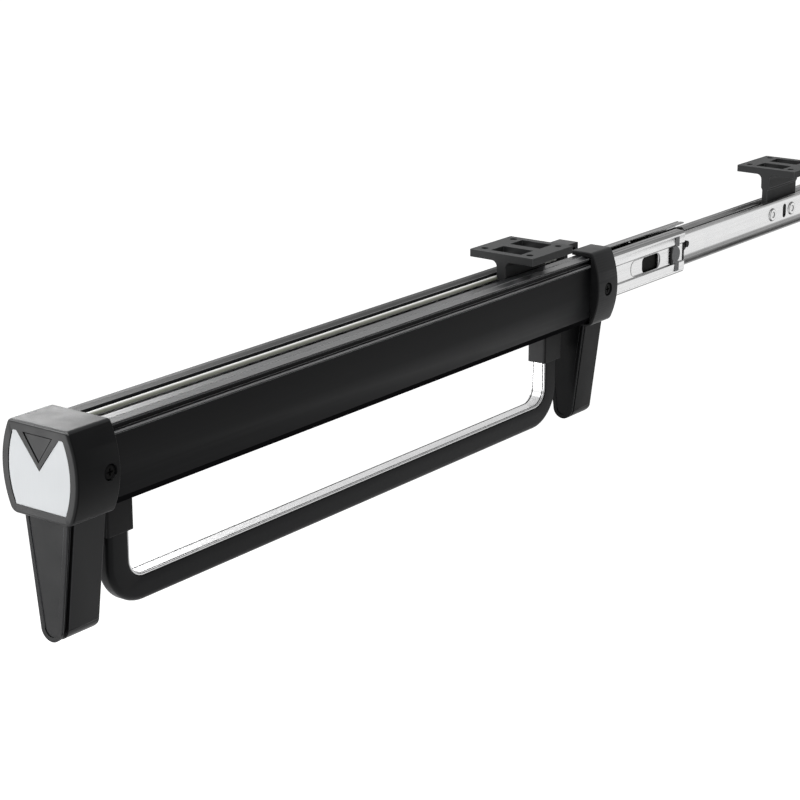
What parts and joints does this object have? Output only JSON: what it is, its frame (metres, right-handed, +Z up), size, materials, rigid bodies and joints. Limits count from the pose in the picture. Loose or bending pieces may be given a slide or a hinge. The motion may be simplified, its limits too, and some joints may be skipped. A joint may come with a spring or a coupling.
{
  "type": "pull-out trouser rack",
  "caption": "Pull-out trouser rack for a wardrobe: a black beam on telescopic ball slides under shelf brackets carries a hanging bar, end caps and legs.",
  "frame": {"origin": "middle of the front bracket's four-hole pattern, on the plate's top face, which goes against the shelf", "axes": "+X across the rail to its right, +Y along the rail into the wardrobe, +Z up; the carriage is drawn out at rest and slides along +Y to close"},
  "size_m": [0.062, 0.9958, 0.1488],
  "materials": {
    "bracket_coat": "fine powder coat",
    "rivet_steel": "zinc plated",
    "slide_zinc": "bright zinc plated",
    "lever_plastic": "moulded",
    "stop_plastic": "moulded",
    "cage_steel": "greased",
    "ball_steel": "polished",
    "screw_zinc": "zinc plated",
    "screw_black": "black oxide",
    "bumper_rubber": "matte",
    "beam_black": "satin powder coat",
    "cap_plastic": "fine moulded grain",
    "cover_plastic": "fine moulded grain",
    "socket_plastic": "moulded",
    "face_silver": "satin silver",
    "bar_black": "satin powder coat",
    "strip_bright": "bright anodised"
  },
  "bodies": {
    "rail": {"front_bracket": "bracket_coat", "rear_bracket": "bracket_coat", "bracket_rivets": "rivet_steel", "inner_member_left": "slide_zinc", "inner_member_right": "slide_zinc", "release_lever_left": "lever_plastic", "release_lever_right": "lever_plastic"},
    "carriage": {"outer_member_left": "slide_zinc", "outer_member_right": "slide_zinc", "outer_member_screws": "screw_zinc", "closing_bumpers": "bumper_rubber", "beam": "beam_black", "front_cap": "cap_plastic", "face_plate": "face_silver", "cap_screws": "screw_black", "front_leg": "cap_plastic", "front_leg_cover": "cover_plastic", "rear_collar": "cap_plastic", "collar_screws": "screw_black", "rear_leg": "cap_plastic", "rear_leg_cover": "cover_plastic", "leg_screws": "screw_zinc", "front_bar_socket": "socket_plastic", "rear_bar_socket": "socket_plastic", "socket_screws": "screw_zinc", "hanging_bar": "bar_black", "bar_strip": "strip_bright"},
    "middle_stage": {"middle_member_left": "slide_zinc", "middle_member_right": "slide_zinc", "middle_stop_left": "stop_plastic", "middle_stop_right": "stop_plastic"},
    "inner_cages": {"inner_cage_left": "cage_steel", "inner_cage_right": "cage_steel", "inner_balls": "ball_steel"},
    "outer_cages": {"outer_cage_left": "cage_steel", "outer_cage_right": "cage_steel", "outer_balls": "ball_steel"}
  },
  "joints": [
    {"name": "carriage_slide", "type": "slide", "parent": "rail", "child": "carriage", "axis": [0, 1, 0], "range_m": [0, 0.435]},
    {"name": "middle_slide", "type": "slide", "parent": "rail", "child": "middle_stage", "axis": [0, 1, 0], "range_m": [0, 0.2175]},
    {"name": "inner_cage_slide", "type": "slide", "parent": "rail", "child": "inner_cages", "axis": [0, 1, 0], "range_m": [0, 0.10875]},
    {"name": "outer_cage_slide", "type": "slide", "parent": "rail", "child": "outer_cages", "axis": [0, 1, 0], "range_m": [0, 0.32625]}
  ],
  "couplings": [
    {"joint": "middle_slide", "follows": "carriage_slide", "ratio": 0.5},
    {"joint": "inner_cage_slide", "follows": "carriage_slide", "ratio": 0.25},
    {"joint": "outer_cage_slide", "follows": "carriage_slide", "ratio": 0.75}
  ]
}
